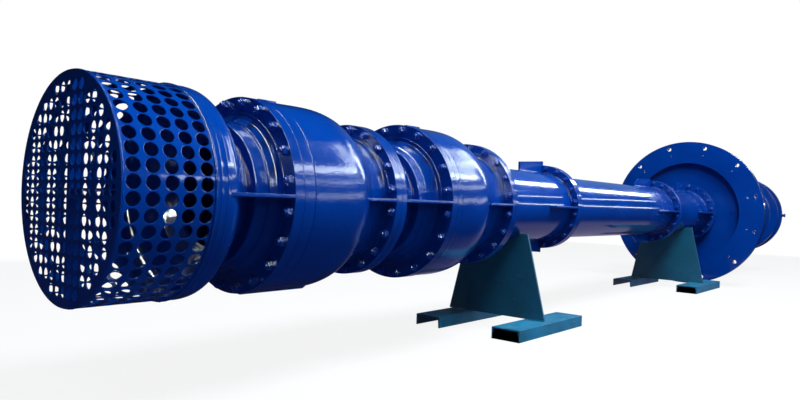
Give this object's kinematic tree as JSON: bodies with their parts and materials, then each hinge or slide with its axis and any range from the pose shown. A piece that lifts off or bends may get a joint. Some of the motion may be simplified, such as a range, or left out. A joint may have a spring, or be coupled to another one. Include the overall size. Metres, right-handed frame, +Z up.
{
  "type": "vertical turbine pump on trestles",
  "caption": "Long vertical turbine pump lying on two trestles: perforated strainer, bowls, flanged column, round soleplate and discharge head.",
  "frame": {"origin": "on the floor, under the pump axis, at the middle of the pump's length", "axes": "+X along the pump axis from the strainer to the driver flange, +Y away from the side the picture shows, +Z up"},
  "size_m": [9.739, 1.68, 1.685],
  "materials": {
    "strainer_sheet": "gloss blue enamel on perforated sheet",
    "cast_bowls": "gloss blue enamel on cast iron",
    "column_steel": "gloss blue enamel on welded steel",
    "head_steel": "gloss blue enamel on welded steel",
    "bright_steel": "turned steel",
    "trestle_paint": "worn teal workshop paint"
  },
  "bodies": {
    "root": {"basket_panel_1": "strainer_sheet", "basket_panel_10": "strainer_sheet", "basket_panel_11": "strainer_sheet", "basket_panel_12": "strainer_sheet", "basket_panel_2": "strainer_sheet", "basket_panel_3": "strainer_sheet", "basket_panel_4": "strainer_sheet", "basket_panel_5": "strainer_sheet", "basket_panel_6": "strainer_sheet", "basket_panel_7": "strainer_sheet", "basket_panel_8": "strainer_sheet", "basket_panel_9": "strainer_sheet", "column_gusset_1_bottom": "column_steel", "column_gusset_1_far": "column_steel", "column_gusset_1_near": "column_steel", "column_gusset_1_top": "column_steel", "column_gusset_2_bottom": "column_steel", "column_gusset_2_far": "column_steel", "column_gusset_2_near": "column_steel", "column_gusset_2_top": "column_steel", "column_gusset_3_bottom": "column_steel", "column_gusset_3_far": "column_steel", "column_gusset_3_near": "column_steel", "column_gusset_3_top": "column_steel", "column_pipe_1": "column_steel", "column_pipe_2": "column_steel", "column_pipe_3": "column_steel", "driver_stool": "head_steel", "first_bowl": "cast_bowls", "head_base_plate": "head_steel", "head_drum": "head_steel", "lifting_boss": "head_steel", "second_bowl": "cast_bowls", "soleplate": "head_steel", "stage_inlet": "cast_bowls", "strainer_end_plate": "strainer_sheet", "strainer_shoulder": "head_steel", "strainer_stiffener": "strainer_sheet", "stuffing_box": "bright_steel", "suction_bell": "cast_bowls", "trestle_1_foot_far": "trestle_paint", "trestle_1_foot_near": "trestle_paint", "trestle_1_saddle": "trestle_paint", "trestle_2_foot_far": "trestle_paint", "trestle_2_foot_near": "trestle_paint", "trestle_2_saddle": "trestle_paint"}
  },
  "joints": []
}
